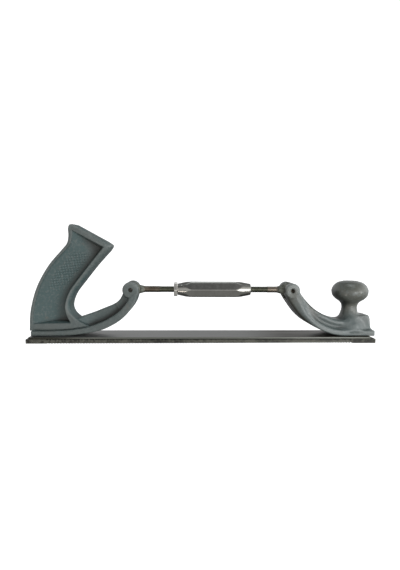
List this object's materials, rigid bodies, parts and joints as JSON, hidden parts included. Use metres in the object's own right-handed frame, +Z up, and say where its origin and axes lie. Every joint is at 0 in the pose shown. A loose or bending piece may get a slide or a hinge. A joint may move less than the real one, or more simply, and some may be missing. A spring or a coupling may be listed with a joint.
{
  "type": "adjustable flexible body file holder",
  "caption": "Hand file holder with a cast grip and knob on a sprung backing strip, bowed by a threaded turnbuckle above a curved-tooth file.",
  "frame": {"origin": "middle of the file's cutting face, on the surface that the tool stands on", "axes": "+X along the file from the pistol grip to the knob, +Y across the file, +Z up from the cutting face to the turnbuckle"},
  "size_m": [0.35, 0.0364, 0.1177],
  "materials": {
    "enamel_casting": "grey-green hammered enamel over a light alloy casting",
    "plated_steel": "bright plated hexagon bar",
    "dark_steel": "dark oiled steel",
    "spring_steel": "bare spring steel, slightly browned",
    "file_steel": "hardened file steel"
  },
  "bodies": {
    "blade_middle": {"file_segment_4": "file_steel", "strip_segment_4": "spring_steel"},
    "blade_left_1": {"file_segment_3": "file_steel", "strip_segment_3": "spring_steel"},
    "blade_left_2": {"file_segment_2": "file_steel", "strip_segment_2": "spring_steel"},
    "handle_end": {"handle_casting": "enamel_casting", "handle_roll_pin": "dark_steel", "handle_file_screw": "dark_steel", "handle_strip_rivet": "dark_steel", "file_segment_1": "file_steel", "strip_segment_1": "spring_steel"},
    "blade_right_1": {"file_segment_5": "file_steel", "strip_segment_5": "spring_steel"},
    "blade_right_2": {"file_segment_6": "file_steel", "strip_segment_6": "spring_steel"},
    "knob_end": {"knob_casting": "enamel_casting", "knob_roll_pin": "dark_steel", "knob_file_screw": "dark_steel", "knob_strip_rivet": "dark_steel", "file_segment_7": "file_steel", "strip_segment_7": "spring_steel"},
    "handle_rod": {"handle_eye_rod": "dark_steel"},
    "nut_carriage": {"lock_nut": "plated_steel"},
    "turnbuckle": {"turnbuckle_body": "plated_steel"},
    "knob_rod": {"knob_eye_rod": "dark_steel"}
  },
  "joints": [
    {"name": "turnbuckle_spin", "type": "hinge", "parent": "nut_carriage", "child": "turnbuckle", "pos_m": [0.01, 0, 0.0526], "axis": [1, 0, 0], "range_deg": [-1800, 1800]},
    {"name": "nut_travel", "type": "slide", "parent": "handle_rod", "child": "nut_carriage", "axis": [1, 0, 0], "range_m": [-0.0051, 0.0051]},
    {"name": "handle_pivot", "type": "hinge", "parent": "handle_end", "child": "handle_rod", "pos_m": [-0.0733, 0, 0.0526], "axis": [0, 1, 0], "range_deg": [-6, 6]},
    {"name": "knob_pivot", "type": "hinge", "parent": "knob_end", "child": "knob_rod", "pos_m": [0.0893, 0, 0.0526], "axis": [0, 1, 0], "range_deg": [-6, 6]},
    {"name": "bend_left_1", "type": "hinge", "parent": "blade_middle", "child": "blade_left_1", "pos_m": [-0.0107, 0, 0.00435], "axis": [0, 1, 0], "range_deg": [-2, 2]},
    {"name": "bend_left_2", "type": "hinge", "parent": "blade_left_1", "child": "blade_left_2", "pos_m": [-0.0481, 0, 0.00435], "axis": [0, 1, 0], "range_deg": [-2, 2]},
    {"name": "bend_left_3", "type": "hinge", "parent": "blade_left_2", "child": "handle_end", "pos_m": [-0.0855, 0, 0.00435], "axis": [0, 1, 0], "range_deg": [-2, 2]},
    {"name": "bend_right_1", "type": "hinge", "parent": "blade_middle", "child": "blade_right_1", "pos_m": [0.0267, 0, 0.00435], "axis": [0, 1, 0], "range_deg": [-2, 2]},
    {"name": "bend_right_2", "type": "hinge", "parent": "blade_right_1", "child": "blade_right_2", "pos_m": [0.0641, 0, 0.00435], "axis": [0, 1, 0], "range_deg": [-2, 2]},
    {"name": "bend_right_3", "type": "hinge", "parent": "blade_right_2", "child": "knob_end", "pos_m": [0.1015, 0, 0.00435], "axis": [0, 1, 0], "range_deg": [-2, 2]}
  ],
  "couplings": [
    {"joint": "nut_travel", "follows": "turnbuckle_spin", "m_per_rad": 0.00015915},
    {"joint": "handle_pivot", "follows": "turnbuckle_spin", "ratio": 0.0032985},
    {"joint": "knob_pivot", "follows": "turnbuckle_spin", "ratio": -0.0032985},
    {"joint": "bend_left_1", "follows": "turnbuckle_spin", "ratio": -0.0010995},
    {"joint": "bend_left_2", "follows": "turnbuckle_spin", "ratio": -0.0010995},
    {"joint": "bend_left_3", "follows": "turnbuckle_spin", "ratio": -0.0010995},
    {"joint": "bend_right_1", "follows": "turnbuckle_spin", "ratio": 0.0010995},
    {"joint": "bend_right_2", "follows": "turnbuckle_spin", "ratio": 0.0010995},
    {"joint": "bend_right_3", "follows": "turnbuckle_spin", "ratio": 0.0010995}
  ]
}
